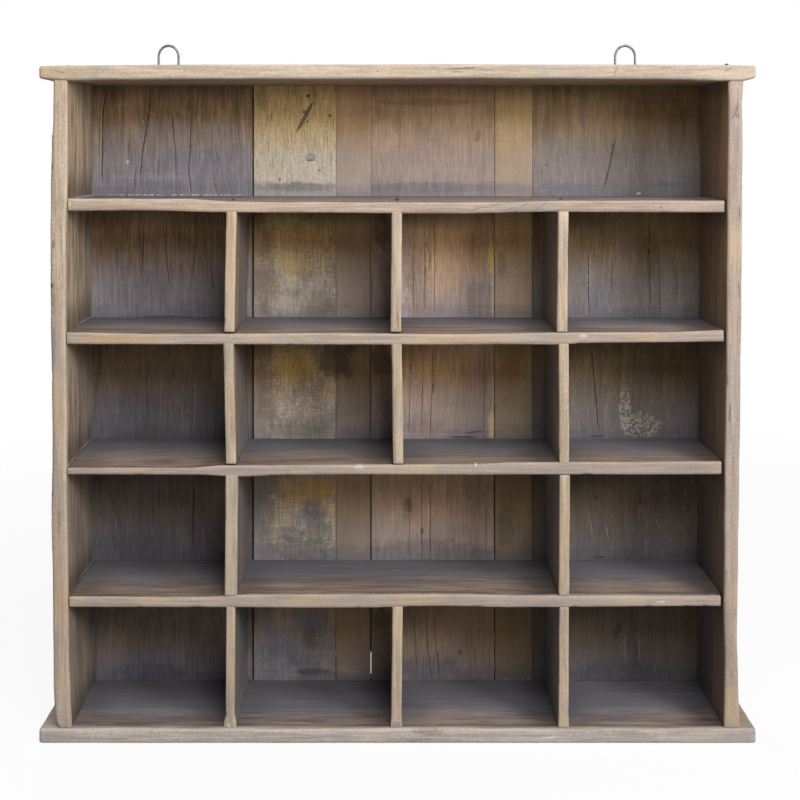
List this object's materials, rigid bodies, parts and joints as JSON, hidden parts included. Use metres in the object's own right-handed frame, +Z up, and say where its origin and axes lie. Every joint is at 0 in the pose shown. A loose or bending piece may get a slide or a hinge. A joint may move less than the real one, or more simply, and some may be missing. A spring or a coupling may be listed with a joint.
{
  "type": "pigeonhole shelf",
  "caption": "Rustic wall shelf of reclaimed boards, open at the front and split by dividers into pigeonholes, with hinged ring hangers behind its top.",
  "frame": {"origin": "middle of the underside of the bottom board", "axes": "+X along the width, -Y out of the open front, +Z up"},
  "size_m": [0.72, 0.1248, 0.709],
  "materials": {
    "case_wood": "worn, sanded",
    "shelf_wood": "worn, sanded",
    "divider_wood": "worn, sanded",
    "plank_wood": "weathered, with remains of paint",
    "nail_iron": "dull",
    "strap_steel": "tarnished",
    "screw_steel": "tarnished",
    "ring_steel": "zinc plated, dull"
  },
  "bodies": {
    "shelf": {"top_board": "case_wood", "bottom_board": "case_wood", "left_side": "case_wood", "right_side": "case_wood", "shelf_1": "shelf_wood", "shelf_2": "shelf_wood", "shelf_3": "shelf_wood", "shelf_4": "shelf_wood", "row_2_left_divider": "divider_wood", "row_2_middle_divider": "divider_wood", "row_2_right_divider": "divider_wood", "row_3_left_divider": "divider_wood", "row_3_middle_divider": "divider_wood", "row_3_right_divider": "divider_wood", "row_4_left_divider": "divider_wood", "row_4_right_divider": "divider_wood", "row_5_left_divider": "divider_wood", "row_5_middle_divider": "divider_wood", "row_5_right_divider": "divider_wood", "back_plank_1": "plank_wood", "back_plank_2": "plank_wood", "back_plank_3": "plank_wood", "back_plank_4": "plank_wood", "back_plank_5": "plank_wood", "back_plank_6": "plank_wood", "top_nails": "nail_iron", "bottom_nails": "nail_iron", "left_side_nails": "nail_iron", "right_side_nails": "nail_iron", "divider_nails": "nail_iron", "back_nails": "nail_iron", "left_hanger_strap": "strap_steel", "right_hanger_strap": "strap_steel", "left_hanger_screw": "screw_steel", "right_hanger_screw": "screw_steel"},
    "left_ring": {"left_hanger_ring": "ring_steel"},
    "right_ring": {"right_hanger_ring": "ring_steel"}
  },
  "joints": [
    {"name": "left_ring_hinge", "type": "hinge", "parent": "shelf", "child": "left_ring", "pos_m": [-0.252, 0.0624, 0.687], "axis": [1, 0, 0], "range_deg": [-180, 100]},
    {"name": "right_ring_hinge", "type": "hinge", "parent": "shelf", "child": "right_ring", "pos_m": [0.252, 0.0624, 0.687], "axis": [1, 0, 0], "range_deg": [-180, 100]}
  ]
}
